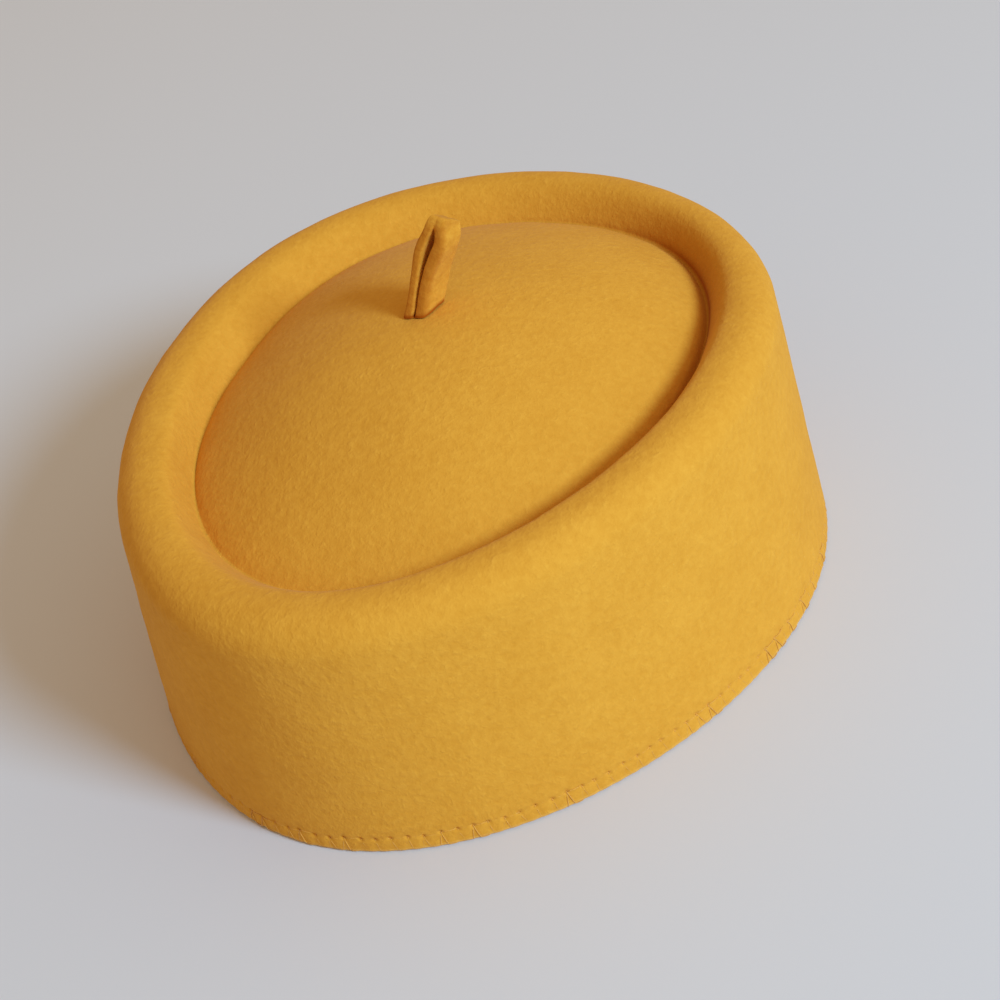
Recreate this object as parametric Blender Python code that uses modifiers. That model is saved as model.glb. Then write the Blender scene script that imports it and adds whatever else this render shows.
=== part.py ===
"""A moulded felt pillbox cap with a folded felt stem on its crown.

The cap is one hollow shell of felt, open underneath. Its front is at -X, its back at +X and
its bottom edge stands on z = 0. The script models it from the named sizes below, in metres.
"""

import math
from collections import namedtuple

import bmesh
import bpy
from mathutils import Vector
from mathutils.geometry import interpolate_bezier

# Felt
FELT = 0.0025                     # thickness of the cap's wall
GAP = 0.0003                      # clearance between the cap and the stem on it

# The ovals that shape the cap. An oval is narrower at the front than at the back by its egg
# share, its power is 2 for an ellipse and less for a more pointed one, and its shift moves it
# towards the back.
Oval = namedtuple("Oval", "height half_length half_width egg power shift")
EDGE_OVAL = Oval(height=0.0, half_length=0.100, half_width=0.0905, egg=0.115, power=1.95, shift=0.0)
RIM_OVAL = Oval(height=0.070, half_length=0.100, half_width=0.0790, egg=0.135, power=2.00, shift=0.0)
CREASE_OVAL = Oval(height=0.0585, half_length=0.0773, half_width=0.0606, egg=0.080, power=2.18, shift=0.0018)
CREASE_RISE = 0.0030              # how much higher the crease lies at the back than at the front
CREASE_ASIDE = -0.0010            # how far it lies to the side of the cap's middle

# Rim, edge and dome
HEM_HEIGHT = 0.0015               # lowest band of the wall, which stands straight
RIM_OUTER_RADIUS = 0.0090         # roll from the wall to the top of the rim
DOME_HEIGHT = 0.081               # top of the dome above the bottom edge
DOME_TOP = (0.004, 0.0)           # where that top is

# The curve from the top of the rim down into the crease. It leaves the rim level and reaches
# the crease at its steepest. Two shares say how long it keeps to each of these ways, at the
# back of the cap and at the front.
INNER_LEVEL_SHARE = (0.45, 0.90)
INNER_LEVEL_MOST = 0.0070
INNER_STEEP_SHARE = (0.40, 0.68)
INNER_STEEPENING = 1.28           # slope at the crease over the mean slope
INNER_STEEPEST = math.radians(84)
INNER_FRONT_GAIN = 0.8            # how soon the front's shares take over round the rim

# How finely the cap's shell is divided
ROUND_STEPS = 72
WALL_STEPS = 4
ROLL_STEPS = 5
INNER_STEPS = 7
DOME_STEPS = 9

# The stem, a strip folded over at the top, with its two legs pressed together and a gap
# between them that opens to a drop-shaped hole under the fold. It stands with the strip's cut
# edges to the front and leans back a little.
STEM_CORNER = (0.0010, 0.0059)    # foot of the left leg's front corner
STEM_FRONT_WAY = math.radians(-82.5)  # across the cut edges, from the left leg, turned from +X
STEM_SIDE_WAY = math.radians(-14.5)  # along the strip's width, from front to back
STEM_LEAN = math.radians(20.5)    # lean from upright
STEM_LEAN_WAY = math.radians(-60)  # the side that it leans to, turned from +X
STEM_BACK_CUTS = 1                # how finely the strip's width is divided
STEM_FACE_CUTS = 6                # and its two legs with the gap, across the front
GAP_FIRST_ROW = 1                 # rows between which the legs stand apart
GAP_LAST_ROW = 8

# The stem's rows, from its foot to its fold. Each has its height, four places across the
# front (the stem's left side, the two sides of the gap and the right side), the strip's width,
# how far its back lies lower than its front, and how far its right side lies lower than its left.
StemRow = namedtuple("StemRow", "height left gap_left gap_right right width back_drop side_drop")
STEM_ROWS = (
    StemRow(0.0000, 0.0000, 0.0026, 0.0031, 0.0059, 0.0088, 0.0000, 0.0000),
    StemRow(0.0006, 0.0000, 0.0026, 0.0031, 0.0058, 0.0088, 0.0000, 0.0000),
    StemRow(0.0042, 0.0000, 0.0023, 0.0027, 0.0053, 0.0096, 0.0000, 0.0000),
    StemRow(0.0080, -0.0001, 0.0020, 0.0026, 0.0052, 0.0100, 0.0000, 0.0000),
    StemRow(0.0126, -0.0004, 0.0018, 0.0028, 0.0059, 0.0095, 0.0000, 0.0000),
    StemRow(0.0163, -0.0006, 0.0017, 0.0037, 0.0069, 0.0084, 0.0003, 0.0000),
    StemRow(0.0191, -0.0004, 0.0022, 0.0046, 0.0069, 0.0080, 0.0009, 0.0000),
    StemRow(0.0213, 0.0003, 0.0028, 0.0040, 0.0064, 0.0080, 0.0018, 0.0002),
    StemRow(0.0226, 0.0008, 0.0032, 0.0035, 0.0061, 0.0080, 0.0026, 0.0005),
    StemRow(0.0241, 0.0011, 0.0033, 0.0036, 0.0060, 0.0078, 0.0033, 0.0012),
    StemRow(0.0258, 0.0015, 0.0034, 0.0038, 0.0060, 0.0075, 0.0039, 0.0021),
)

FELT_COLOUR = (0.62, 0.33, 0.045, 1.0)
STEM_COLOUR = (0.60, 0.30, 0.035, 1.0)
FELT_ROUGHNESS = 0.95


def clear_scene():
    """Removes what the scene holds."""
    for thing in list(bpy.data.objects):
        bpy.data.objects.remove(thing)


def new_collection(name):
    collection = bpy.data.collections.new(name)
    bpy.context.scene.collection.children.link(collection)
    return collection


def felt_material(name, colour):
    material = bpy.data.materials.new(name)
    material.use_nodes = True
    shader = material.node_tree.nodes["Principled BSDF"]
    shader.inputs["Base Color"].default_value = colour
    shader.inputs["Roughness"].default_value = FELT_ROUGHNESS
    shader.inputs["Metallic"].default_value = 0.0
    return material


def oval_point(oval, angle):
    """The point of an oval at an angle from its back end."""
    along = math.cos(angle)
    across = math.sin(angle)
    x = oval.half_length * math.copysign(abs(along) ** (2 / oval.power), along)
    y = oval.half_width * math.copysign(abs(across) ** (2 / oval.power), across)
    return Vector((x + oval.shift, y * (1 + oval.egg * along), oval.height))


def outward(point):
    """The level way out of the cap at a point of its rim."""
    return Vector((point.x, point.y, 0)).normalized()


def line_points(start, end, steps):
    """Points after the start of a straight line, up to its end."""
    return [start.lerp(end, step / steps) for step in range(1, steps + 1)]


def wall_lean():
    """The mean angle by which the wall leans in."""
    inward = EDGE_OVAL.half_width - RIM_OVAL.half_width
    inward += EDGE_OVAL.half_length - RIM_OVAL.half_length
    return math.atan2(inward / 2, RIM_OVAL.height)


def crease_point(angle):
    """The point of the crease at an angle."""
    point = oval_point(CREASE_OVAL, angle)
    point.y += CREASE_ASIDE
    point.z += CREASE_RISE * (1 + math.cos(angle)) / 2
    return point


def inner_side(rim_top, crease, way_out, angle):
    """Points after the top of the rim, along the curve by which it falls to the crease."""
    run = crease - rim_top
    inward = Vector((run.x, run.y, 0))
    distance = inward.length
    slope = math.atan2(-run.z, distance)
    steep = min(INNER_STEEPEST, slope * INNER_STEEPENING)
    front = min(1.0, INNER_FRONT_GAIN * (1 - math.cos(angle)))
    level_share = INNER_LEVEL_SHARE[0] + (INNER_LEVEL_SHARE[1] - INNER_LEVEL_SHARE[0]) * front
    steep_share = INNER_STEEP_SHARE[0] + (INNER_STEEP_SHARE[1] - INNER_STEEP_SHARE[0]) * front
    level_end = rim_top - way_out * min(INNER_LEVEL_MOST, distance * level_share)
    back_up = Vector((0, 0, math.sin(steep))) - inward.normalized() * math.cos(steep)
    steep_start = crease + back_up * run.length * steep_share
    return interpolate_bezier(rim_top, level_end, steep_start, crease, INNER_STEPS + 1)[1:]


def profile(angle):
    """The cap's outer surface at one angle, from the bottom edge up to the rim, over it and
    down to the crease, and up the dome to just short of its top."""
    edge = oval_point(EDGE_OVAL, angle)
    rim = oval_point(RIM_OVAL, angle)
    crease = crease_point(angle)
    way_out = outward(rim)
    points = [edge, edge + Vector((0, 0, HEM_HEIGHT))]

    lean = wall_lean()
    roll_centre_height = RIM_OVAL.height - RIM_OUTER_RADIUS
    wall_top_height = roll_centre_height + RIM_OUTER_RADIUS * math.sin(lean)
    wall_top = edge.lerp(rim, wall_top_height / RIM_OVAL.height)
    points += line_points(points[-1], wall_top, WALL_STEPS)

    for step in range(1, ROLL_STEPS + 1):
        turn = lean + (math.pi / 2 - lean) * step / ROLL_STEPS
        inward = RIM_OUTER_RADIUS * (math.cos(lean) - math.cos(turn))
        height = roll_centre_height + RIM_OUTER_RADIUS * math.sin(turn)
        points.append(Vector((wall_top.x, wall_top.y, height)) - inward * way_out)

    points += inner_side(points[-1], crease, way_out, angle)
    points += [dome_point(crease, step / DOME_STEPS) for step in range(1, DOME_STEPS)]
    return points


def dome_point(crease, share):
    """A point of the dome, at a share of the way from the crease to the top."""
    left = 1 - share
    x = DOME_TOP[0] + (crease.x - DOME_TOP[0]) * left
    y = DOME_TOP[1] + (crease.y - DOME_TOP[1]) * left
    return Vector((x, y, crease.z + (DOME_HEIGHT - crease.z) * (1 - left ** 2)))


def make_crown(collection):
    """The moulded cap: an open surface lofted through its profiles, given the felt's thickness
    inwards."""
    shape = bmesh.new()
    angles = [2 * math.pi * step / ROUND_STEPS for step in range(ROUND_STEPS)]
    columns = [[shape.verts.new(point) for point in profile(angle)] for angle in angles]
    top = shape.verts.new((*DOME_TOP, DOME_HEIGHT))
    for column, following in zip(columns, columns[1:] + columns[:1]):
        for low in range(len(column) - 1):
            shape.faces.new((column[low], following[low], following[low + 1], column[low + 1]))
        shape.faces.new((column[-1], following[-1], top))
    mesh = bpy.data.meshes.new("felt_crown")
    shape.to_mesh(mesh)
    shape.free()
    mesh.shade_smooth()
    mesh.materials.append(felt_material("felt", FELT_COLOUR))
    crown = bpy.data.objects.new("felt_crown", mesh)
    collection.objects.link(crown)
    wall = crown.modifiers.new("felt wall", "SOLIDIFY")
    wall.thickness = FELT
    wall.offset = -1
    wall.use_even_offset = True
    return crown


def stem_point(place):
    """Where a point of an even block goes on the folded strip. The block's height counts the
    rows, its breadth the lines across the cut edges, and its depth the strip's width."""
    row = STEM_ROWS[round(place.z * (len(STEM_ROWS) - 1))]
    left_leg = row.gap_left - row.left
    right_leg = row.right - row.gap_right
    lines = (
        row.left, row.left + left_leg / 3, row.gap_left - left_leg / 3, row.gap_left,
        row.gap_right, row.gap_right + right_leg / 3, row.right - right_leg / 3, row.right,
    )
    across = lines[round((0.5 - place.y) * (len(lines) - 1))]
    back = place.x * row.width
    share = (across - row.left) / (row.right - row.left)
    height = row.height - place.x * row.back_drop + (0.5 - share) * row.side_drop
    reach = height * math.tan(STEM_LEAN)
    foot = Vector((*STEM_CORNER, DOME_HEIGHT + GAP))
    return foot + Vector((
        across * math.cos(STEM_FRONT_WAY) + back * math.cos(STEM_SIDE_WAY) + reach * math.cos(STEM_LEAN_WAY),
        across * math.sin(STEM_FRONT_WAY) + back * math.sin(STEM_SIDE_WAY) + reach * math.sin(STEM_LEAN_WAY),
        height,
    ))


def divide(shape, axis, cuts):
    """Cuts a block of even faces across one of its axes."""
    along = [e for e in shape.edges if abs((e.verts[0].co - e.verts[1].co)[axis]) > 0.9 * e.calc_length()]
    bmesh.ops.subdivide_edges(shape, edges=along, cuts=cuts, use_grid_fill=True)


def open_gap(shape, rows):
    """Opens the gap between the legs through the block, from its front to its back."""
    middle_line = 0.05
    taken = []
    for face in shape.faces:
        middle = face.calc_center_median()
        between = GAP_FIRST_ROW < middle.z * rows < GAP_LAST_ROW
        if abs(face.normal.x) > 0.5 and abs(middle.y) < middle_line and between:
            taken.append(face)
    bmesh.ops.delete(shape, geom=taken, context="FACES")
    rims = [e for e in shape.edges if e.is_boundary]
    walls = bmesh.ops.bridge_loops(shape, edges=rims)["edges"]
    bmesh.ops.subdivide_edges(shape, edges=walls, cuts=STEM_BACK_CUTS, use_grid_fill=True)


def make_stem(collection):
    """The folded strip: an even block, opened between its legs and moved to its rows, which
    Subdivision Surface then softens."""
    rows = len(STEM_ROWS) - 1
    shape = bmesh.new()
    bmesh.ops.create_cube(shape, size=1)
    bmesh.ops.translate(shape, vec=(0.5, 0, 0.5), verts=shape.verts)
    divide(shape, 2, rows - 1)
    divide(shape, 1, STEM_FACE_CUTS)
    divide(shape, 0, STEM_BACK_CUTS)
    open_gap(shape, rows)
    for vertex in shape.verts:
        vertex.co = stem_point(vertex.co)
    bmesh.ops.recalc_face_normals(shape, faces=shape.faces)
    mesh = bpy.data.meshes.new("stem")
    shape.to_mesh(mesh)
    shape.free()
    mesh.shade_smooth()
    mesh.materials.append(felt_material("stem felt", STEM_COLOUR))
    stem = bpy.data.objects.new("stem", mesh)
    collection.objects.link(stem)
    soft = stem.modifiers.new("soft felt", "SUBSURF")
    soft.levels = 1
    soft.render_levels = 1


def main():
    clear_scene()
    cap = new_collection("felt pillbox cap")
    make_crown(cap)
    make_stem(cap)


main()
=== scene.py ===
import math
import random

import bmesh
import bpy
from mathutils import Matrix, Vector
from mathutils.bvhtree import BVHTree


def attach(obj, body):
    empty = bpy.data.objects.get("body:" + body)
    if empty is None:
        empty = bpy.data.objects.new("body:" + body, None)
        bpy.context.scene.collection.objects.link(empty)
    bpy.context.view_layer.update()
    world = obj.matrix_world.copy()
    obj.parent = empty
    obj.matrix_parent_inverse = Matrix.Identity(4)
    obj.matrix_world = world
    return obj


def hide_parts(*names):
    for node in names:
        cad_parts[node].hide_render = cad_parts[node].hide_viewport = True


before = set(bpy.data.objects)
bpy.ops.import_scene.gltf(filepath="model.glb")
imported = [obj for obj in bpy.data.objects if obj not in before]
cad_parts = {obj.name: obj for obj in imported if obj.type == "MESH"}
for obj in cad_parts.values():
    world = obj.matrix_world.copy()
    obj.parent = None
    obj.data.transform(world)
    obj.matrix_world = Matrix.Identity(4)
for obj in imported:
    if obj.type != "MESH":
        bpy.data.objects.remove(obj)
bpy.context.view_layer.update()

print("frame loaded:", ", ".join(sorted(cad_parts)))


# Camera, set as the cap was photographed: from above the front left, tilted a little
view = {
    "lens": 64.8,  # mm
    "sensor": 36.0,
    "lookAt": (-0.0210, -0.0228, 0.0450),
    "distance": 0.4399,
    "azimuth": math.radians(-150.33),  # where the camera stands, turned from +X
    "elevation": math.radians(37.80),
    "tilt": math.radians(-12.20),  # roll about the line of sight
}


def wayTo(turn, height):  # a direction, from its turn from +X and its angle up
    level = math.cos(height)
    return Vector((level * math.cos(turn), level * math.sin(turn), math.sin(height)))


def addCamera():
    back = wayTo(view["azimuth"], view["elevation"])
    lens = bpy.data.cameras.new("photo camera")
    lens.lens = view["lens"]
    lens.sensor_width = view["sensor"]
    camera = bpy.data.objects.new("photo_camera", lens)
    bpy.context.scene.collection.objects.link(camera)
    turn = (-back).to_track_quat("-Z", "Y").to_matrix().to_4x4()
    place = Matrix.Translation(Vector(view["lookAt"]) + view["distance"] * back)
    camera.matrix_world = place @ turn @ Matrix.Rotation(view["tilt"], 4, "Z")
    bpy.context.scene.camera = camera


addCamera()
print("camera set")


# Shared helpers
def pickNothing():
    if bpy.context.mode != "OBJECT":
        bpy.ops.object.mode_set(mode="OBJECT")
    bpy.ops.object.select_all(action="DESELECT")


def workOn(piece):
    pickNothing()
    piece.select_set(True)
    bpy.context.view_layer.objects.active = piece


def applyAll(piece):
    workOn(piece)
    for modifier in list(piece.modifiers):
        bpy.ops.object.modifier_apply(modifier=modifier.name)


def settle(piece):  # puts the piece's place into its mesh
    workOn(piece)
    bpy.ops.object.transform_apply(location=True, rotation=True, scale=True)


def selectWhere(piece, kind, wanted):  # picks the edges or faces that a test lets through
    bpy.ops.mesh.select_mode(type=kind)
    bpy.ops.mesh.select_all(action="DESELECT")
    mesh = bmesh.from_edit_mesh(piece.data)
    for part in mesh.edges if kind == "EDGE" else mesh.faces:
        part.select_set(wanted(part))
    bmesh.update_edit_mesh(piece.data)


def finishPiece(piece, material):
    piece.data.materials.clear()
    piece.data.materials.append(material)
    workOn(piece)
    bpy.ops.object.shade_smooth()
    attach(piece, "root")
    triangles = sum(len(face.vertices) - 2 for face in piece.data.polygons)
    print(piece.name, "has", triangles, "triangles")


def ease(share):  # from 0 to 1 with a soft start and end
    share = min(1.0, max(0.0, share))
    return share * share * (3 - 2 * share)


def bell(distance, reach):  # 1 at no distance, fading out beyond its reach
    return math.exp(-((distance / reach) ** 2))


# The form that the felt was blocked on: three egg-shaped ovals, a rolled rim and a dome
form = {
    "edge": {
        "height": 0.0, "halfLength": 0.100, "halfWidth": 0.0905,
        "egg": 0.115, "power": 1.95, "shift": 0.0,
    },
    "rim": {
        "height": 0.070, "halfLength": 0.100, "halfWidth": 0.0790,
        "egg": 0.135, "power": 2.00, "shift": 0.0,
    },
    "crease": {
        "height": 0.0585, "halfLength": 0.0773, "halfWidth": 0.0606,
        "egg": 0.080, "power": 2.18, "shift": 0.0018,
    },
    "creaseRise": 0.0030,  # how much higher the crease lies at the back
    "creaseAside": -0.0010,  # and how far it lies off the middle line
    "creaseOut": 0.0021,  # how much further out it lies at the back of one side
    "creaseOutWay": math.radians(-42),
    "creaseOutReach": math.radians(32),
    "groove": 0.0010,  # depth of the narrow groove pressed along the crease, at its sharpest
    "grooveLeast": 0.3,  # the share of that depth where the crease is softest
    "grooveReach": 0.0015,  # how far the groove spreads from the crease
    "outerRoll": 0.0090,  # radius of the rim's roll
    "innerLevel": (0.45, 0.90),  # how long the rim's inner side stays level, at back and front
    "innerLevelMost": 0.0070,  # in metres; the others are shares of the way to the crease
    "innerSteep": (0.40, 0.68),  # and how long it is at its steepest
    "innerSteepening": 1.28,  # over the straight line from the rim's top to the crease
    "innerSteepest": math.radians(84),
    "innerFront": 0.8,  # how soon the front's values hold, going round from the back
    "domeHeight": 0.081,
    "domeTop": (0.004, 0.0),
    "felt": 0.0025,
}


def ovalPoint(oval, angle):  # the power makes the oval fuller, the egg makes its back wider
    along, across = math.cos(angle), math.sin(angle)
    x = oval["halfLength"] * math.copysign(abs(along) ** (2 / oval["power"]), along)
    y = oval["halfWidth"] * math.copysign(abs(across) ** (2 / oval["power"]), across)
    return Vector((x + oval["shift"], y * (1 + oval["egg"] * along), oval["height"]))


def outwardAt(rim):  # level, away from the cap's middle
    return Vector((rim.x, rim.y, 0)).normalized()


def onWall(edge, rim, height):
    return edge.lerp(rim, height / form["rim"]["height"])


class EdgeMeasure:  # lengths along the bottom edge, from the back of the cap
    def __init__(self, steps=1440):
        self.angles = [2 * math.pi * step / steps for step in range(steps + 1)]
        self.lengths = [0.0]
        for before, after in zip(self.angles, self.angles[1:]):
            piece = (ovalPoint(form["edge"], after) - ovalPoint(form["edge"], before)).length
            self.lengths.append(self.lengths[-1] + piece)
        self.total = self.lengths[-1]

    def lengthAt(self, angle):
        place = (angle % (2 * math.pi)) / (2 * math.pi) * (len(self.angles) - 1)
        low = min(int(place), len(self.angles) - 2)
        return self.lengths[low] + (self.lengths[low + 1] - self.lengths[low]) * (place - low)

    def angleAt(self, length):
        length %= self.total
        low, high = 0, len(self.lengths) - 1
        while high - low > 1:
            middle = (low + high) // 2
            if self.lengths[middle] <= length:
                low = middle
            else:
                high = middle
        share = (length - self.lengths[low]) / (self.lengths[high] - self.lengths[low])
        return self.angles[low] + (self.angles[high] - self.angles[low]) * share


edgeMeasure = EdgeMeasure()

# The whipped edge: where its needle holes are and how the thread goes
stitch = {
    "count": 155,
    "needleLine": 0.0047,  # holes above the bottom edge
    "thread": 0.00014,  # radius
    "thinner": 0.9,  # it has this share of its radius where it is pulled tight along the edge
    "lift": -0.00010,  # thread's centre above the felt
    "slant": 0.0013,  # how far a stitch goes along the edge on its way down
    "returnSlant": -0.0007,
    "layer": 0.00004,  # a stitch lies this much higher than its return, and that lower
    "sway": 0.0006,  # unevenness of its slant
    "raised": 0.00022,  # how far the loosest stitch stands out
    "sunk": 0.00006,  # and how far the tightest lies in the felt
    "holeRadius": 0.00050,
    "holeDepth": 0.00075,
    "pull": 0.00012,  # how far the thread pulls the felt in along the needle line
    "pullWidth": 0.0009,
    "puff": 0.00014,  # how far the felt swells between two stitches
    "puffFade": 0.0015,
    "wander": 0.00035,  # unevenness of a hole's place
    "reliefTop": 0.0085,  # no stitch moves the felt above this height
    "followed": 0.4,  # the share of the felt's relief that the thread follows
    "underEdge": 0.00035,  # lower than this the thread runs under the edge
}
stitch["pitch"] = edgeMeasure.total / stitch["count"]
random.seed(7)
holes = []
for number in range(stitch["count"]):
    along = (number + 0.5) * stitch["pitch"] + random.uniform(-1, 1) * stitch["wander"]
    up = stitch["needleLine"] + random.uniform(-1, 1) * stitch["wander"]
    holes.append((along, up))


def stitchRelief(along, up):  # how far the felt stands out at a place near the edge
    if up > stitch["reliefTop"]:
        return 0.0
    number = int(along / stitch["pitch"]) % stitch["count"]
    below = stitch["needleLine"] - up
    relief = -stitch["pull"] * bell(below, stitch["pullWidth"])
    phase = (along / stitch["pitch"]) % 1.0
    puff = math.sin(math.pi * phase) ** 2
    fade = stitch["puffFade"]
    relief -= stitch["puff"] * puff * ease(up / fade) * ease(below / fade)
    half = edgeMeasure.total / 2
    for near in (number - 1, number, number + 1):
        holeAlong, holeUp = holes[near % stitch["count"]]
        apart = (along - holeAlong + half) % edgeMeasure.total - half
        relief -= stitch["holeDepth"] * bell(math.hypot(apart, up - holeUp), stitch["holeRadius"])
    return relief


# The moulded felt cap: a plain sleeve, drawn over the form
crown = {
    "around": 300,
    "rows": {"hem": 4, "wall": 27, "outerRoll": 11, "innerSide": 18, "dome": 28},
    "hemCuts": 3,  # the stitched band is cut this much finer
    "hemHeight": 0.006,
    "stitchedRows": 3,  # rows above the hem that the stitches still move
    "stitchedHeight": 0.02,  # and a height above all of them
    "fadeRows": 6,  # rows above the hem over which the unevenness sets in
    "domeGather": 1.6,  # how much the dome's rows gather at the crease
    "standOff": 0.00025,  # felt above the surface, where only the thread touches it
    "edgeRound": 0.0009,  # radius of the cut edge, drawn round by the stitching
    "foot": {"x": 0.0050, "y": 0.0022, "radius": 0.0075, "depth": 0.0004},  # dimple round the stem
    "dents": 0.0009,  # depth of the broad unevenness
    "dentSize": 0.045,
    "ripple": 0.00024,  # depth of the fine unevenness
    "rippleSize": 0.009,
    "pressedWay": math.radians(-76),  # where the crease's groove is deepest and the shade painted in it darkest
    "pressedReach": math.radians(50),
    "shadeInCrease": {"share": 0.85, "width": 0.0014},  # painted shade in the crease
    "shadeBesideCrease": {"share": 0.55, "width": 0.0085},  # and painted shade up the rim's inner side, where the rim shades it
}


def nearWay(angle, way, reach):  # a bell for an angle round the cap
    return bell((angle - way + math.pi) % (2 * math.pi) - math.pi, reach)


def creasePoint(angle):
    point = ovalPoint(form["crease"], angle)
    point.y += form["creaseAside"]
    outward = form["creaseOut"] * nearWay(angle, form["creaseOutWay"], form["creaseOutReach"])
    point += wayTo(angle, 0) * outward
    point.z += form["creaseRise"] * (1 + math.cos(angle)) / 2
    return point


def innerSidePoint(top, crease, wayOut, angle, share):  # on the curve from rim to crease
    run = crease - top
    inward = Vector((run.x, run.y, 0))
    steep = math.atan2(-run.z, inward.length) * form["innerSteepening"]
    steep = min(form["innerSteepest"], steep)
    front = min(1.0, form["innerFront"] * (1 - math.cos(angle)))
    levelShare = form["innerLevel"][0] + (form["innerLevel"][1] - form["innerLevel"][0]) * front
    steepShare = form["innerSteep"][0] + (form["innerSteep"][1] - form["innerSteep"][0]) * front
    levelEnd = top - wayOut * min(form["innerLevelMost"], inward.length * levelShare)
    backUp = Vector((0, 0, math.sin(steep))) - inward.normalized() * math.cos(steep)
    steepStart = crease + backUp * run.length * steepShare
    left = 1 - share
    return (top * left ** 3 + levelEnd * 3 * share * left ** 2
            + steepStart * 3 * share ** 2 * left + crease * share ** 3)


def grooveAndShade(angle):  # how deep the crease's groove is, and how dark the shade painted in it, most at one side
    return nearWay(angle, crown["pressedWay"], crown["pressedReach"])


def formPoint(angle, row):  # the form's surface at one angle, at a row counted up the sleeve
    edge, rim = ovalPoint(form["edge"], angle), ovalPoint(form["rim"], angle)
    crease = creasePoint(angle)
    wayOut = outwardAt(rim)
    inward = form["edge"]["halfWidth"] - form["rim"]["halfWidth"]
    lean = math.atan2(inward / 2, form["rim"]["height"])
    rollCentre = form["rim"]["height"] - form["outerRoll"]
    wallTop = rollCentre + form["outerRoll"] * math.sin(lean)
    rows = crown["rows"]
    if row <= rows["hem"]:
        height = crown["standOff"] + (crown["hemHeight"] - crown["standOff"]) * row / rows["hem"]
        return onWall(edge, rim, height)
    row -= rows["hem"]
    if row <= rows["wall"]:
        height = crown["hemHeight"] + (wallTop - crown["hemHeight"]) * row / rows["wall"]
        return onWall(edge, rim, height)
    row -= rows["wall"]
    shoulder = onWall(edge, rim, wallTop)
    turn = lean + (math.pi / 2 - lean) * min(1.0, row / rows["outerRoll"])
    point = shoulder - wayOut * form["outerRoll"] * (math.cos(lean) - math.cos(turn))
    point.z = rollCentre + form["outerRoll"] * math.sin(turn)
    if row <= rows["outerRoll"]:
        return point
    row -= rows["outerRoll"]
    if row <= rows["innerSide"]:
        point = innerSidePoint(point, crease, wayOut, angle, row / rows["innerSide"])
        return pressGroove(point, crease, angle)
    left = 1 - ((row - rows["innerSide"]) / rows["dome"]) ** crown["domeGather"]
    topX, topY = form["domeTop"]
    rise = (form["domeHeight"] - crease.z) * (1 - left ** 2)
    point = Vector((
        topX + (crease.x - topX) * left,
        topY + (crease.y - topY) * left,
        crease.z + rise,
    ))
    foot = crown["foot"]  # the dimple in which the stem stands
    distance = math.hypot(point.x - foot["x"], point.y - foot["y"])
    point.z -= foot["depth"] * (1 - ease(distance / foot["radius"]))
    return pressGroove(point, crease, angle)


def pressGroove(point, crease, angle):  # lowers a point that lies near the crease
    least = form["grooveLeast"]
    depth = form["groove"] * (least + (1 - least) * grooveAndShade(angle))
    point.z -= depth * bell((point - crease).length, form["grooveReach"])
    return point


def addUnevenness(piece, name, depth, size):
    clouds = bpy.data.textures.new(name, "CLOUDS")
    clouds.noise_scale = size
    clouds.noise_depth = 1
    move = piece.modifiers.new(name, "DISPLACE")
    move.texture = clouds
    move.texture_coords = "LOCAL"
    move.strength = depth
    move.mid_level = 0.5
    move.vertex_group = "free felt"


def pressedShare(angle, point):  # shade painted in the crease and up the rim's inner side beside it
    crease = creasePoint(angle)
    apart = (point - crease).length
    shadeSpread = crown["shadeInCrease"]
    share = shadeSpread["share"] * bell(apart, shadeSpread["width"]) * grooveAndShade(angle)
    # the rim's inner side beside the crease gets more painted shade where the rim shades it
    if (point - crease).dot(wayTo(angle, 0)) > 0:
        shadeSpread = crown["shadeBesideCrease"]
        beside = nearWay(angle, form["creaseOutWay"], form["creaseOutReach"])
        share += shadeSpread["share"] * bell(apart, shadeSpread["width"]) * beside
    return min(1.0, share)


def makeSleeve():  # an even open tube, one unit high for each row
    totalRows = sum(crown["rows"].values())
    pickNothing()
    bpy.ops.mesh.primitive_cylinder_add(
        vertices=crown["around"], radius=1, depth=totalRows, end_fill_type="NOTHING",
        location=(0, 0, totalRows / 2))
    piece = bpy.context.object
    piece.name = piece.data.name = "felt_cap"
    settle(piece)
    workOn(piece)
    bpy.ops.object.mode_set(mode="EDIT")
    selectWhere(piece, "EDGE", lambda edge: abs(edge.verts[0].co.z - edge.verts[1].co.z) > 0.5)
    bpy.ops.mesh.subdivide(number_cuts=totalRows - 1)
    selectWhere(piece, "FACE", lambda face: face.calc_center_median().z < crown["rows"]["hem"])
    bpy.ops.mesh.subdivide(number_cuts=crown["hemCuts"])
    return piece


def drawOverForm(piece):  # moves each row of the sleeve to its place on the form
    hem = crown["rows"]["hem"]
    free = piece.vertex_groups.new(name="free felt").index
    sleeve = bmesh.from_edit_mesh(piece.data)
    weights = sleeve.verts.layers.deform.verify()
    pressedLayer = sleeve.verts.layers.float.new("pressed")  # where shade is painted into the colour
    turnLayer = sleeve.verts.layers.float.new("turn")
    upLayer = sleeve.verts.layers.float.new("up")
    for vertex in sleeve.verts:
        row = vertex.co.z
        angle = math.atan2(vertex.co.y, vertex.co.x) % (2 * math.pi)
        vertex.co = formPoint(angle, row)
        vertex[turnLayer] = angle
        vertex[pressedLayer] = pressedShare(angle, vertex.co)
        vertex[upLayer] = vertex.co.z if row < hem + crown["stitchedRows"] else 1.0
        vertex[weights][free] = ease((row - hem) / crown["fadeRows"])
    bmesh.update_edit_mesh(piece.data)
    bpy.ops.mesh.select_all(action="SELECT")
    bpy.ops.mesh.remove_doubles(threshold=0.00001)
    bpy.ops.mesh.normals_make_consistent(inside=False)
    bpy.ops.object.mode_set(mode="OBJECT")


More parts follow.
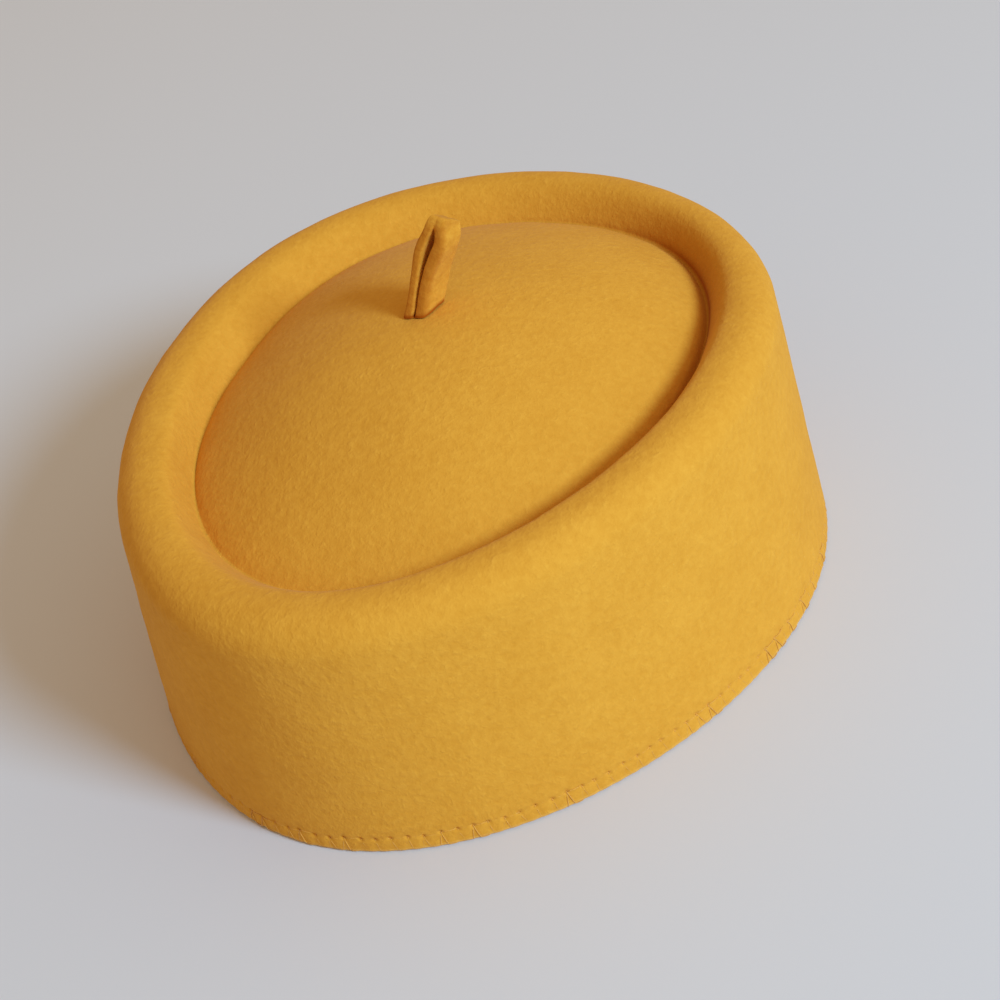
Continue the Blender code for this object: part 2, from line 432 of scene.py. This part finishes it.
def buildCrown():
    piece = makeSleeve()
    drawOverForm(piece)
    addUnevenness(piece, "broad dents", crown["dents"], crown["dentSize"])
    addUnevenness(piece, "fine ripple", crown["ripple"], crown["rippleSize"])
    outerCount = len(piece.data.vertices)
    wall = piece.modifiers.new("felt thickness", "SOLIDIFY")
    wall.thickness = form["felt"]
    wall.offset = -1
    wall.use_even_offset = True
    applyAll(piece)
    drawInEdge(piece.data, outerCount)
    return piece


def edgeInset(up):  # how far the rounded cut edge lies in at a height
    radius = crown["edgeRound"]
    low = min(radius, max(0.0, radius - (up - crown["standOff"])))
    return radius - math.sqrt(radius ** 2 - low ** 2)


def drawInEdge(mesh, outerCount):  # rounds the cut edge and presses the stitches into both faces
    turns = mesh.attributes["turn"].data
    ups = mesh.attributes["up"].data
    for vertex in mesh.vertices:
        up = ups[vertex.index].value
        if up > crown["stitchedHeight"]:
            continue
        angle = turns[vertex.index].value
        rim = ovalPoint(form["rim"], angle)
        wayOut = outwardAt(rim)
        move = stitchRelief(edgeMeasure.lengthAt(angle), up) - edgeInset(up)
        vertex.co += wayOut * (move if vertex.index < outerCount else -move)
        if up < crown["standOff"] * 1.01:  # the lowest row stays level
            vertex.co.z = crown["standOff"]
    mesh.attributes.remove(mesh.attributes["turn"])
    mesh.attributes.remove(mesh.attributes["up"])


feltCap = buildCrown()
print("felt cap blocked")


# The stem: a strip of the same felt folded over at the top, its two legs pressed together
stem = {
    "corner": (0.0008, 0.0062),  # foot of the left leg's front corner
    "frontWay": math.radians(-82.5),  # along the strip's slanting cut edges, from the left leg
    "sideWay": math.radians(-14.5),  # along the strip's width, from front to back
    "lean": math.radians(20.5),
    "leanWay": math.radians(-60),
    "base": 0.0804,  # height of the dome's top in its dimple
    "ripple": 0.00022,
    "rippleSize": 0.0035,
    # in mm: height, left side, both sides of the slit and right side along the front, the
    # strip's width, and how far its back and its right side lie lower
    "shape": [
        (0.0, 0.0, 2.75, 2.95, 6.1, 8.8, 0, 0),
        (0.2, 0.0, 2.75, 2.97, 6.1, 8.8, 0, 0),
        (0.6, 0.0, 2.72, 2.97, 6.0, 8.8, 0, 0),
        (1.3, 0.0, 2.68, 2.93, 5.9, 9.0, 0, 0),
        (5.2, 0.10, 2.34, 2.68, 5.3, 9.8, 0, 0),
        (9.0, -0.05, 2.16, 2.62, 5.2, 10.2, 0, 0),
        (13.5, -0.33, 1.95, 2.80, 6.0, 9.7, 0, 0),
        (17.3, -0.56, 1.78, 3.45, 7.1, 8.4, 0.3, 0),
        (20.0, -0.36, 2.30, 4.40, 7.0, 8.2, 0.7, 0),
        (22.2, 0.40, 2.98, 4.00, 6.5, 8.2, 1.4, 0.2),
        (23.6, 0.90, 3.42, 3.58, 6.3, 8.2, 2.0, 0.4),
        (25.0, 1.15, 3.45, 3.70, 6.2, 8.0, 2.6, 0.9),
        (26.7, 1.90, 3.50, 3.90, 5.8, 7.6, 3.3, 1.4),
    ],
    "cutsAcross": 6,
    "cutsDeep": 3,
    "legCuts": (0.35, 0.25, 0.25, 0.30),  # the cuts' places on the left leg, then the right one
    "wornFront": (0.35, 0.05, 0.0, 0.15, 0.5, 0.15, 0.0, 0.25),  # mm, how far each line lies in
    "wornBack": (0.3, 0.0, 0.0, 0.2, 0.2, 0.0, 0.0, 0.3),
    "topShare": 0.82,  # the fold's top has this share of the strip's width
    "slitFrom": 1,  # the rows between which the two legs part
    "slitTo": 10,
    "footRows": 2,
    "footGap": 0.0002,  # between the foot and the dome
    "footReach": 0.004,  # height over which the foot bends to the dome
    "above": 0.05,  # a height clear of the dome, to look down on it from
    "pressed": {"foot": 1.0, "slit": 0.1, "cutEdge": 0.5, "fold": 0.25},  # painted shade at the foot, in the slit and on the cut edges; the fold is darker too
}


def atFront(place):  # on the side of the block that the slit opens
    return place.x < -0.49


def atBack(place):
    return place.x > 0.49


def buildStem():
    rows = len(stem["shape"]) - 1
    pickNothing()
    bpy.ops.mesh.primitive_cube_add(size=1, location=(0, 0, 0.5))
    piece = bpy.context.object
    piece.name = piece.data.name = "felt_stem"
    settle(piece)
    workOn(piece)
    bpy.ops.object.mode_set(mode="EDIT")

    def runsAlong(edge, axis):
        span = edge.verts[0].co - edge.verts[1].co
        return abs(span[axis]) > 0.9 * span.length

    def isBetweenLegs(face):
        middle = face.calc_center_median()
        inSlit = abs(middle.y) < 0.05 and stem["slitFrom"] < middle.z * rows < stem["slitTo"]
        return abs(face.normal.x) > 0.5 and inSlit

    for axis, cuts in ((2, rows - 1), (1, stem["cutsAcross"]), (0, stem["cutsDeep"])):
        selectWhere(piece, "EDGE", lambda edge: runsAlong(edge, axis))
        bpy.ops.mesh.subdivide(number_cuts=cuts)
    selectWhere(piece, "FACE", isBetweenLegs)
    bpy.ops.mesh.bridge_edge_loops(number_cuts=stem["cutsDeep"])  # opens the gap, front to back
    block = bmesh.from_edit_mesh(piece.data)
    # painted shade on the stem, kept in the same attribute as the cap's
    pressedLayer = block.verts.layers.float.new("pressed")
    for vertex in block.verts:
        vertex[pressedLayer] = stemPaintedShadeShare(vertex.co, round(vertex.co.z * rows), rows)
        vertex.co = stemPoint(vertex.co, rows)
    bmesh.update_edit_mesh(piece.data)
    bpy.ops.mesh.select_all(action="SELECT")
    bpy.ops.mesh.normals_make_consistent(inside=False)
    bpy.ops.object.mode_set(mode="OBJECT")
    soft = piece.modifiers.new("soft felt", "SUBSURF")
    soft.levels = soft.render_levels = 3
    clouds = bpy.data.textures.new("stem ripple", "CLOUDS")
    clouds.noise_scale = stem["rippleSize"]
    move = piece.modifiers.new("stem ripple", "DISPLACE")
    move.texture = clouds
    move.texture_coords = "LOCAL"
    move.strength = stem["ripple"]
    applyAll(piece)
    return piece


def stemPaintedShadeShare(place, row, rows):  # how much shade is painted on the stem there
    pressed = stem["pressed"]
    if row <= stem["footRows"]:
        return pressed["foot"]
    if abs(place.y) < 0.1 and row <= stem["slitTo"]:
        return pressed["slit"]
    if atFront(place) and row < rows - 1:
        return pressed["cutEdge"]
    return pressed["fold"] if row >= rows - 1 else 0.0


def stemPoint(place, rows):  # from the even block to the folded strip's own shape
    row = round(place.z * rows)
    height, left, slitLeft, slitRight, right, width, backDrop, sideDrop = (
        value / 1000 for value in stem["shape"][row])
    line = round((0.5 - place.y) * (stem["cutsAcross"] + 1))
    leftLeg, rightLeg = slitLeft - left, right - slitRight
    cuts = stem["legCuts"]
    across = (
        left, left + cuts[0] * leftLeg, slitLeft - cuts[1] * leftLeg, slitLeft,
        slitRight, slitRight + cuts[2] * rightLeg, right - cuts[3] * rightLeg, right,
    )[line]
    deep = (place.x + 0.5) * width
    if atFront(place) and row < rows:  # the cut edges are worn round
        deep += stem["wornFront"][line] / 1000
    if row == rows:
        deep = width / 2 + (deep - width / 2) * stem["topShare"]
    if atBack(place):
        deep -= stem["wornBack"][line] / 1000
    height += (0.5 - (across - left) / (right - left)) * sideDrop - (place.x + 0.5) * backDrop
    reach = height * math.tan(stem["lean"])
    return Vector((
        stem["corner"][0] + across * math.cos(stem["frontWay"]) + deep * math.cos(stem["sideWay"])
        + reach * math.cos(stem["leanWay"]),
        stem["corner"][1] + across * math.sin(stem["frontWay"]) + deep * math.sin(stem["sideWay"])
        + reach * math.sin(stem["leanWay"]),
        stem["base"] + height,
    ))


def standOnDome(piece, dome):  # bends the foot to the dome and keeps it clear
    points = [vertex.co.copy() for vertex in dome.data.vertices]
    tree = BVHTree.FromPolygons(points, [face.vertices[:] for face in dome.data.polygons])
    for vertex in piece.data.vertices:
        share = 1 - ease((vertex.co.z - stem["base"]) / stem["footReach"])
        above = Vector((vertex.co.x, vertex.co.y, stem["base"] + stem["above"]))
        surface = tree.ray_cast(above, Vector((0, 0, -1)))[0]
        vertex.co.z += share * (surface.z + stem["footGap"] - stem["base"])


feltStem = buildStem()
standOnDome(feltStem, feltCap)
print("felt stem folded")


# The whipping thread, one stitch modelled flat and copied round the edge
def stitchTube(name, points, radius):
    pickNothing()
    path = bpy.data.curves.new(name, "CURVE")
    path.dimensions = "3D"
    path.bevel_depth = radius
    path.bevel_resolution = 0
    path.use_fill_caps = True
    line = path.splines.new("POLY")
    line.points.add(len(points) - 1)
    for point, place in zip(line.points, points):
        point.co = (*place, 1)
    tube = bpy.data.objects.new(name, path)
    bpy.context.scene.collection.objects.link(tube)
    workOn(tube)
    bpy.ops.object.convert(target="MESH")
    return bpy.context.object


# Each point of a stitch: how far it lies along the edge, out from the felt's face, and up
def stitchLeg(slant, lift):  # from the outer hole down, under the edge and up to the inner hole
    felt = form["felt"]
    top = stitch["needleLine"]
    out = stitch["lift"] + lift
    low = stitch["thread"]
    return [
        (0, -0.0008, top),
        (0.06 * slant, out - 0.00010, top - 0.0003),
        (0.33 * slant, out, top - 0.0014),
        (0.66 * slant, out, top - 0.0029),
        (0.88 * slant, out, top - 0.0038),
        (0.97 * slant, out, 0.00045),
        (1.00 * slant, -0.00080, low),
        (1.00 * slant, -felt + 0.00080, low),
        (0.97 * slant, -felt - out, 0.00045),
        (0.80 * slant, -felt - out, top - 0.0034),
        (0.40 * slant, -felt - out, top - 0.0016),
        (0.06 * slant, -felt - out + 0.00010, top - 0.0003),
        (0, -felt + 0.0008, top),
    ]


def buildStitches():
    pitch, line = stitch["pitch"], stitch["needleLine"]
    thin = stitch["thread"] * stitch["thinner"]
    stitchPath = stitchLeg(stitch["slant"], stitch["layer"])
    returnPath = stitchLeg(stitch["returnSlant"], -stitch["layer"])
    models = [
        stitchTube("stitch leg", stitchPath, stitch["thread"]),
        stitchTube("return leg", returnPath, stitch["thread"]),
        stitchTube("needle dash", [
            (0, -0.0007, line),
            (0.0006, -0.00014, line),
            (pitch * 0.5, -0.00008, line + 0.00005),
            (pitch - 0.0006, -0.00014, line),
            (pitch, -0.0007, line),
        ], thin),
        stitchTube("edge link", [
            (0.0011, -0.00022, 0.0007),
            (0.0015, -0.00004, 0.00064),
            (0.0022, -0.00002, 0.00060),
            (pitch - 0.0009, -0.00004, 0.00064),
            (pitch - 0.0005, -0.00022, 0.0007),
        ], thin),
    ]
    random.seed(19)
    copies = []
    for along, up in holes:
        sway = random.uniform(-1, 1) * stitch["sway"]
        raised = stitch["raised"] * random.random() ** 3 - stitch["sunk"]  # few stand out
        for model in models:
            mesh = model.data.copy()
            for vertex in mesh.vertices:
                aside, out, height = vertex.co
                high = ease(height / line)
                outside = 1 if out > -form["felt"] / 2 else -1
                place = along + aside + sway * (1 - high)
                rise = height + (up - line) * high
                vertex.co = edgePlace(place, out + raised * outside, rise)
            copy = bpy.data.objects.new("stitch", mesh)
            bpy.context.scene.collection.objects.link(copy)
            copies.append(copy)
    pickNothing()
    for copy in copies:
        copy.select_set(True)
    bpy.context.view_layer.objects.active = copies[0]
    bpy.ops.object.join()
    piece = bpy.context.object
    piece.name = piece.data.name = "edge_thread"
    for model in models:
        bpy.data.objects.remove(model)
    return piece


def edgePlace(along, out, up):  # a place near the edge, from the felt's outer face
    angle = edgeMeasure.angleAt(along)
    edge, rim = ovalPoint(form["edge"], angle), ovalPoint(form["rim"], angle)
    wayOut = outwardAt(rim)
    point = onWall(edge, rim, max(0.0, up))
    point.z = up
    if up > stitch["underEdge"]:
        relief = stitchRelief(along % edgeMeasure.total, up)
        inset = edgeInset(up) - relief * stitch["followed"]
        out += -inset if out > -form["felt"] / 2 else inset
    return point + wayOut * out


edgeThread = buildStitches()
print("edge stitched")


# Materials
def newGroup(name, inputs, outputs):
    group = bpy.data.node_groups.new(name, "ShaderNodeTree")
    for socketName, kind, value in inputs:
        socket = group.interface.new_socket(socketName, in_out="INPUT", socket_type=kind)
        if value is not None:
            socket.default_value = value
    for socketName, kind in outputs:
        group.interface.new_socket(socketName, in_out="OUTPUT", socket_type=kind)
    return group, group.nodes.new("NodeGroupInput"), group.nodes.new("NodeGroupOutput")


def addNode(tree, kind, settings=None, **values):
    node = tree.nodes.new(kind)
    for name, value in (settings or {}).items():
        setattr(node, name, value)
    for name, value in values.items():
        node.inputs[name.replace("_", " ")].default_value = value
    return node


def mathNode(tree, operation, first, second=None, third=None):
    node = tree.nodes.new("ShaderNodeMath")
    node.operation = operation
    for place, value in enumerate((first, second, third)):
        if value is None:
            continue
        if isinstance(value, (int, float)):
            node.inputs[place].default_value = value
        else:
            tree.links.new(value, node.inputs[place])
    return node.outputs[0]


def mixNode(tree, share, first, second):  # colours given as values or as another node's output
    node = addNode(tree, "ShaderNodeMix", {"data_type": "RGBA"})
    tree.links.new(share, node.inputs["Factor"])
    for socketName, colour in (("A", first), ("B", second)):
        if isinstance(colour, tuple):
            node.inputs[socketName].default_value = colour
        else:
            tree.links.new(colour, node.inputs[socketName])
    return node.outputs["Result"]


def noiseNode(tree, where, scale, detail, roughness=0.5, kind="FBM", distortion=0.0):
    node = tree.nodes.new("ShaderNodeTexNoise")
    node.noise_type = kind
    tree.links.new(where, node.inputs["Vector"])
    node.inputs["Scale"].default_value = scale
    node.inputs["Detail"].default_value = detail
    node.inputs["Roughness"].default_value = roughness
    node.inputs["Distortion"].default_value = distortion
    return node.outputs["Fac"]


# Matted wool. The scales are counted over a metre, so 520 gives patches of about 2 mm
nap = {
    "patchScale": 75,
    "mottleScale": 520,
    "grainScale": 1900,
    "strandScale": 700,
    "fleckScale": 330,
    "fleckFrom": 0.66,  # only the peaks of the noise make flecks
    "fleckTo": 0.78,
    "strandGain": 0.9,  # strands are drawn out this strongly and cut off softly at the limit
    "strandLimit": 1.2,
    "strandSoftness": 0.3,
    "patchTone": 0.25,
    "strandTone": 0.5,
    "grainTone": 0.10,
    "fleckTone": 0.5,
    "mottleHeight": 0.9,
    "strandHeight": 0.35,
    "grainHeight": 0.10,
    "fleckHeight": 0.5,
    "grainFuzz": 0.3,
}


def makeNapGroup():  # soft mottle, tangled fibres and small pale flecks
    group, source, result = newGroup("wool nap", [
        ("Where", "NodeSocketVector", None),
        ("Mottle", "NodeSocketFloat", 0.5),
        ("Fibres", "NodeSocketFloat", 0.5),
        ("Flecks", "NodeSocketFloat", 0.5),
        ("Roughness", "NodeSocketFloat", 0.9),
    ], [("Tone", "NodeSocketFloat"), ("Height", "NodeSocketFloat"), ("Fuzz", "NodeSocketFloat")])
    where = source.outputs["Where"]

    patches = noiseNode(group, where, nap["patchScale"], 2)
    mottle = noiseNode(group, where, nap["mottleScale"], 3, roughness=0.6)
    grain = noiseNode(group, where, nap["grainScale"], 2, roughness=0.6)
    strand = noiseNode(group, where, nap["strandScale"], 3, roughness=0.55,
                       kind="RIDGED_MULTIFRACTAL", distortion=0.6)
    strand = mathNode(group, "MULTIPLY", strand, nap["strandGain"])
    strand = mathNode(group, "SMOOTH_MIN", strand, nap["strandLimit"], nap["strandSoftness"])
    speckle = noiseNode(group, where, nap["fleckScale"], 2, roughness=0.7)
    fleck = addNode(group, "ShaderNodeMapRange", {"interpolation_type": "SMOOTHSTEP"},
                    From_Min=nap["fleckFrom"], From_Max=nap["fleckTo"])
    group.links.new(speckle, fleck.inputs["Value"])

    def centred(value, amount):
        return mathNode(group, "MULTIPLY", mathNode(group, "SUBTRACT", value, 0.5), amount)

    mottled = mathNode(group, "MULTIPLY", centred(mottle, 1.0), source.outputs["Mottle"])
    fibres, flecks = source.outputs["Fibres"], source.outputs["Flecks"]
    flecked = mathNode(group, "MULTIPLY", fleck.outputs["Result"], flecks)
    tone = mathNode(group, "ADD", centred(patches, nap["patchTone"]), mottled)
    tone = mathNode(group, "ADD", tone, centred(grain, nap["grainTone"]))
    tone = mathNode(group, "MULTIPLY_ADD", centred(strand, nap["strandTone"]), fibres, tone)
    tone = mathNode(group, "MULTIPLY_ADD", flecked, nap["fleckTone"], tone)
    group.links.new(tone, result.inputs["Tone"])
    height = centred(mottle, nap["mottleHeight"])
    height = mathNode(group, "ADD", height, centred(grain, nap["grainHeight"]))
    height = mathNode(group, "MULTIPLY_ADD", strand, nap["strandHeight"], height)
    height = mathNode(group, "MULTIPLY_ADD", flecked, nap["fleckHeight"], height)
    group.links.new(height, result.inputs["Height"])
    rough = source.outputs["Roughness"]
    fuzz = mathNode(group, "MULTIPLY_ADD", centred(grain, 1.0), nap["grainFuzz"], rough)
    group.links.new(fuzz, result.inputs["Fuzz"])
    return group


napGroup = makeNapGroup()
wool = {
    "light": (0.870, 0.440, 0.055, 1),
    "deep": (0.560, 0.205, 0.010, 1),
    "balance": 0.62,  # how near to the light colour the felt is where its tone is even
    # painted shade: the dark colour mixed in where the attribute marks shade
    "pressed": (0.380, 0.080, 0.002, 1),
    "pressedMost": 0.95,
    "worn": (0.900, 0.540, 0.160, 1),  # the cut edge is paler
    "wornMost": 0.6,
    "wornBelow": 0.0015,  # height where the paler band begins
    "wornFully": 0.0006,  # and where it is at its palest
    "roughness": 0.92,
    "specular": 0.05,
    "sheen": 0.06,
    "sheenRoughness": 0.45,
    "sheenTint": (1.0, 0.88, 0.70, 1),
    "bump": 0.9,
    "bumpDistance": 0.00036,
}


def feltMaterial(name, mottle, fibres, flecks):
    material = bpy.data.materials.new(name)
    material.use_nodes = True
    tree = material.node_tree
    shader = tree.nodes["Principled BSDF"]
    where = addNode(tree, "ShaderNodeTexCoord").outputs["Object"]
    matted = addNode(tree, "ShaderNodeGroup", {"node_tree": napGroup}, Mottle=mottle,
                     Fibres=fibres, Flecks=flecks, Roughness=wool["roughness"])
    tree.links.new(where, matted.inputs["Where"])
    # painted shade, read from the pieces' attribute and mixed in towards the dark colour
    pressed = addNode(tree, "ShaderNodeAttribute", {"attribute_name": "pressed"}).outputs["Fac"]
    share = mathNode(tree, "ADD", matted.outputs["Tone"], wool["balance"])
    shadeShare = mathNode(tree, "MULTIPLY", pressed, wool["pressedMost"])
    worn = addNode(tree, "ShaderNodeMapRange", From_Min=wool["wornBelow"],
                   From_Max=wool["wornFully"], To_Max=wool["wornMost"])
    split = addNode(tree, "ShaderNodeSeparateXYZ")
    tree.links.new(where, split.inputs[0])
    tree.links.new(split.outputs["Z"], worn.inputs["Value"])
    colour = mixNode(tree, share, wool["deep"], wool["light"])
    colour = mixNode(tree, shadeShare, colour, wool["pressed"])
    colour = mixNode(tree, worn.outputs["Result"], colour, wool["worn"])
    tree.links.new(colour, shader.inputs["Base Color"])
    tree.links.new(matted.outputs["Fuzz"], shader.inputs["Roughness"])
    shader.inputs["Specular IOR Level"].default_value = wool["specular"]
    shader.inputs["Sheen Weight"].default_value = wool["sheen"]
    shader.inputs["Sheen Roughness"].default_value = wool["sheenRoughness"]
    shader.inputs["Sheen Tint"].default_value = wool["sheenTint"]
    bump = addNode(tree, "ShaderNodeBump", Strength=wool["bump"], Distance=wool["bumpDistance"])
    tree.links.new(matted.outputs["Height"], bump.inputs["Height"])
    tree.links.new(bump.outputs["Normal"], shader.inputs["Normal"])
    return material


sewing = {  # the whipping thread, a little glossier than the felt
    "dark": (0.62, 0.25, 0.015, 1),
    "light": (0.86, 0.44, 0.05, 1),
    "plyScale": 4200,
    "roughness": 0.6,
    "sheen": 0.2,
}


def threadMaterial():
    material = bpy.data.materials.new("sewing thread")
    material.use_nodes = True
    tree = material.node_tree
    shader = tree.nodes["Principled BSDF"]
    shader.inputs["Roughness"].default_value = sewing["roughness"]
    shader.inputs["Sheen Weight"].default_value = sewing["sheen"]
    where = addNode(tree, "ShaderNodeTexCoord").outputs["Object"]
    ply = noiseNode(tree, where, sewing["plyScale"], 2)
    colour = mixNode(tree, ply, sewing["dark"], sewing["light"])
    tree.links.new(colour, shader.inputs["Base Color"])
    return material


plainFelt = feltMaterial("golden wool felt", mottle=0.45, fibres=0.35, flecks=0.25)
stemFelt = feltMaterial("folded wool felt", mottle=0.8, fibres=0.5, flecks=0.3)
finishPiece(feltCap, plainFelt)
finishPiece(feltStem, stemFelt)
finishPiece(edgeThread, threadMaterial())
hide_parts("felt_crown")
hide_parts("stem")
print("materials set")


# Studio: pale floor, one wide soft window light from the front right, and a pale sky
studio = {
    "floor": (0.690, 0.680, 0.690, 1),
    "floorSize": 8,
    "floorRoughness": 0.6,
    "keyTarget": (0, 0, 0.04),
    "keyWay": math.radians(-103),  # where the window is, turned from +X
    "keyHeight": math.radians(33),
    "keyDistance": 2.5,
    "keySize": 0.75,
    "key": (0.48, 0.73, 1.0),  # cool daylight
    "keyPower": 63,
    "skyRight": (1.08, 0.90, 0.70, 1),
    "skyLeft": (0.78, 0.59, 0.38, 1),
    "skyWay": (0.5, -0.87, 0.0),  # from left to right
    "skyStrength": 0.59,
}


def buildStudio():
    pickNothing()
    bpy.ops.mesh.primitive_plane_add(size=studio["floorSize"])
    floor = bpy.context.object
    floor.name = "floor"
    material = bpy.data.materials.new("pale floor")
    material.use_nodes = True
    shader = material.node_tree.nodes["Principled BSDF"]
    shader.inputs["Base Color"].default_value = studio["floor"]
    shader.inputs["Roughness"].default_value = studio["floorRoughness"]
    floor.data.materials.append(material)
    light = bpy.data.lights.new("window", "AREA")
    light.shape = "DISK"
    light.size = studio["keySize"]
    light.energy = studio["keyPower"]
    light.color = studio["key"]
    lamp = bpy.data.objects.new("window", light)
    bpy.context.scene.collection.objects.link(lamp)
    way = wayTo(studio["keyWay"], studio["keyHeight"])
    place = Matrix.Translation(Vector(studio["keyTarget"]) + way * studio["keyDistance"])
    lamp.matrix_world = place @ way.to_track_quat("Z", "Y").to_matrix().to_4x4()
    world = bpy.data.worlds.new("studio")
    world.use_nodes = True
    tree = world.node_tree
    background = tree.nodes["Background"]
    side = addNode(tree, "ShaderNodeVectorMath", {"operation": "DOT_PRODUCT"})
    side.inputs[1].default_value = studio["skyWay"]
    tree.links.new(addNode(tree, "ShaderNodeTexCoord").outputs["Generated"], side.inputs[0])
    rightward = mathNode(tree, "MULTIPLY_ADD", side.outputs["Value"], 0.5, 0.5)
    sky = mixNode(tree, rightward, studio["skyLeft"], studio["skyRight"])
    tree.links.new(sky, background.inputs["Color"])
    background.inputs["Strength"].default_value = studio["skyStrength"]
    bpy.context.scene.world = world
    bpy.context.scene.view_settings.view_transform = "Standard"


buildStudio()
print("studio lit")
